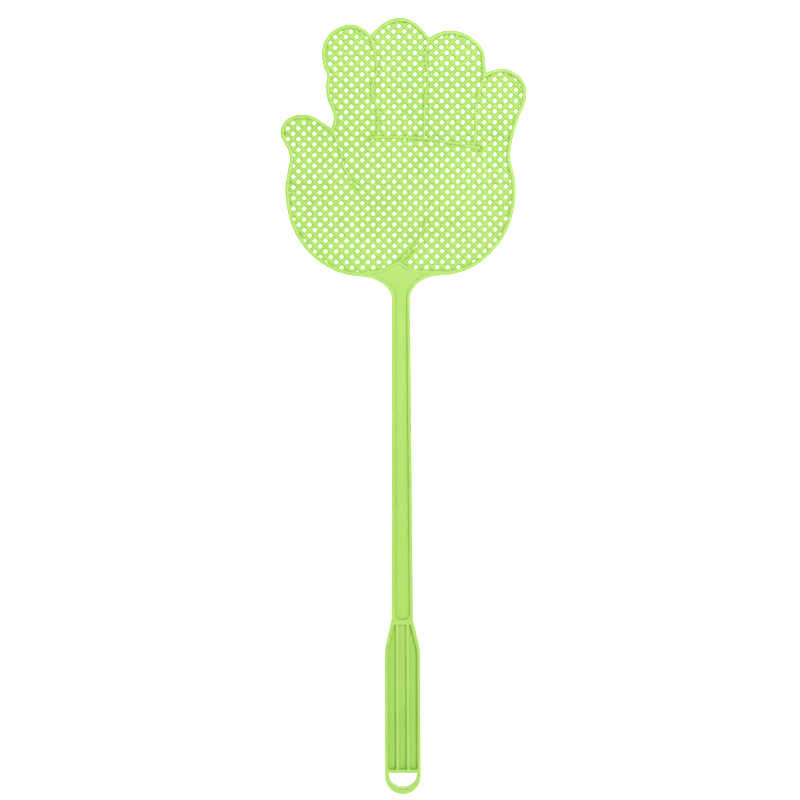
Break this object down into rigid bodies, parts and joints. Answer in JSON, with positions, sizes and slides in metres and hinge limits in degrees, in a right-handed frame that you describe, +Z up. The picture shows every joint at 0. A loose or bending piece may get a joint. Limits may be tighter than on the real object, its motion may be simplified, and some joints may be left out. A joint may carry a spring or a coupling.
{
  "type": "fly swatter",
  "caption": "Hand-shaped plastic fly swatter: a diamond-mesh palm with a beaded rim on a slim shaft that bends and springs back, and a ribbed grip with a hang hole.",
  "frame": {"origin": "bottom of the hang loop, on the handle's centre line and in the moulding's middle plane", "axes": "+Z up the handle and shaft to the fingertips, +X towards the little finger, palm facing -Y"},
  "size_m": [0.143, 0.008, 0.45],
  "materials": {
    "lime_polypropylene": "satin, as moulded"
  },
  "bodies": {
    "handle": {"hang_loop": "lime_polypropylene", "crossbar": "lime_polypropylene", "shoulder_rib": "lime_polypropylene", "handle_floor": "lime_polypropylene", "handle_wall_left": "lime_polypropylene", "handle_wall_right": "lime_polypropylene", "handle_rib_left_front": "lime_polypropylene", "handle_rib_left_back": "lime_polypropylene", "handle_rib_right_front": "lime_polypropylene", "handle_rib_right_back": "lime_polypropylene", "shaft_root": "lime_polypropylene"},
    "shaft_1": {"shaft_1": "lime_polypropylene"},
    "shaft_2": {"shaft_2": "lime_polypropylene"},
    "shaft_3": {"shaft_3": "lime_polypropylene"},
    "shaft_4": {"shaft_4": "lime_polypropylene"},
    "shaft_5": {"shaft_5": "lime_polypropylene"},
    "shaft_6": {"shaft_6": "lime_polypropylene"},
    "shaft_7": {"shaft_7": "lime_polypropylene"},
    "neck": {"neck_rail_left": "lime_polypropylene", "neck_rail_right": "lime_polypropylene", "heel_rim_left_inner": "lime_polypropylene", "heel_rim_right_inner": "lime_polypropylene", "heel_rim_left": "lime_polypropylene", "heel_rim_right": "lime_polypropylene", "heel_line_rib": "lime_polypropylene", "neck_gusset": "lime_polypropylene", "heel_mesh": "lime_polypropylene"},
    "palm": {"palm_rim_left": "lime_polypropylene", "palm_rim_right": "lime_polypropylene", "thumb_line_lower": "lime_polypropylene", "palm_mesh": "lime_polypropylene"},
    "knuckles": {"thumb_rim": "lime_polypropylene", "thumb_line_upper": "lime_polypropylene", "index_root_rim": "lime_polypropylene", "little_root_rim": "lime_polypropylene", "palm_line_rib": "lime_polypropylene", "index_middle_line_lower": "lime_polypropylene", "middle_ring_line_lower": "lime_polypropylene", "ring_little_line_lower": "lime_polypropylene", "palm_top_mesh": "lime_polypropylene", "thumb_mesh": "lime_polypropylene", "middle_root_mesh": "lime_polypropylene", "ring_root_mesh": "lime_polypropylene"},
    "fingers": {"index_rim": "lime_polypropylene", "middle_rim": "lime_polypropylene", "ring_rim": "lime_polypropylene", "little_rim": "lime_polypropylene", "index_middle_line_upper": "lime_polypropylene", "middle_ring_line_upper": "lime_polypropylene", "ring_little_line_upper": "lime_polypropylene", "index_mesh": "lime_polypropylene", "middle_mesh": "lime_polypropylene", "ring_mesh": "lime_polypropylene", "little_mesh": "lime_polypropylene"}
  },
  "joints": [
    {"name": "shaft_flex", "type": "hinge", "parent": "handle", "child": "shaft_1", "pos_m": [0, 0, 0.112], "axis": [1, 0, 0], "range_deg": [-12, 12], "stiffness_Nm_per_rad": 1.7},
    {"name": "shaft_flex_2", "type": "hinge", "parent": "shaft_1", "child": "shaft_2", "pos_m": [0, 0, 0.134], "axis": [1, 0, 0], "range_deg": [-12, 12], "stiffness_Nm_per_rad": 1.7},
    {"name": "shaft_flex_3", "type": "hinge", "parent": "shaft_2", "child": "shaft_3", "pos_m": [0, 0, 0.156], "axis": [1, 0, 0], "range_deg": [-12, 12], "stiffness_Nm_per_rad": 1.7},
    {"name": "shaft_flex_4", "type": "hinge", "parent": "shaft_3", "child": "shaft_4", "pos_m": [0, 0, 0.178], "axis": [1, 0, 0], "range_deg": [-12, 12], "stiffness_Nm_per_rad": 1.7},
    {"name": "shaft_flex_5", "type": "hinge", "parent": "shaft_4", "child": "shaft_5", "pos_m": [0, 0, 0.2], "axis": [1, 0, 0], "range_deg": [-12, 12], "stiffness_Nm_per_rad": 1.7},
    {"name": "shaft_flex_6", "type": "hinge", "parent": "shaft_5", "child": "shaft_6", "pos_m": [0, 0, 0.222], "axis": [1, 0, 0], "range_deg": [-12, 12], "stiffness_Nm_per_rad": 1.7},
    {"name": "shaft_flex_7", "type": "hinge", "parent": "shaft_6", "child": "shaft_7", "pos_m": [0, 0, 0.244], "axis": [1, 0, 0], "range_deg": [-12, 12], "stiffness_Nm_per_rad": 1.7},
    {"name": "shaft_flex_8", "type": "hinge", "parent": "shaft_7", "child": "neck", "pos_m": [0, 0, 0.266], "axis": [1, 0, 0], "range_deg": [-12, 12], "stiffness_Nm_per_rad": 1.7},
    {"name": "head_flex", "type": "hinge", "parent": "neck", "child": "palm", "pos_m": [0, 0, 0.335], "axis": [1, 0, 0], "range_deg": [-14, 14], "stiffness_Nm_per_rad": 0.6},
    {"name": "head_flex_2", "type": "hinge", "parent": "palm", "child": "knuckles", "pos_m": [0, 0, 0.369], "axis": [1, 0, 0], "range_deg": [-14, 14], "stiffness_Nm_per_rad": 0.6},
    {"name": "head_flex_3", "type": "hinge", "parent": "knuckles", "child": "fingers", "pos_m": [0, 0, 0.403], "axis": [1, 0, 0], "range_deg": [-14, 14], "stiffness_Nm_per_rad": 0.6}
  ],
  "couplings": [
    {"joint": "shaft_flex_2", "follows": "shaft_flex", "ratio": 1},
    {"joint": "shaft_flex_3", "follows": "shaft_flex", "ratio": 1},
    {"joint": "shaft_flex_4", "follows": "shaft_flex", "ratio": 1},
    {"joint": "shaft_flex_5", "follows": "shaft_flex", "ratio": 1},
    {"joint": "shaft_flex_6", "follows": "shaft_flex", "ratio": 1},
    {"joint": "shaft_flex_7", "follows": "shaft_flex", "ratio": 1},
    {"joint": "shaft_flex_8", "follows": "shaft_flex", "ratio": 1},
    {"joint": "head_flex_2", "follows": "head_flex", "ratio": 1},
    {"joint": "head_flex_3", "follows": "head_flex", "ratio": 1}
  ]
}
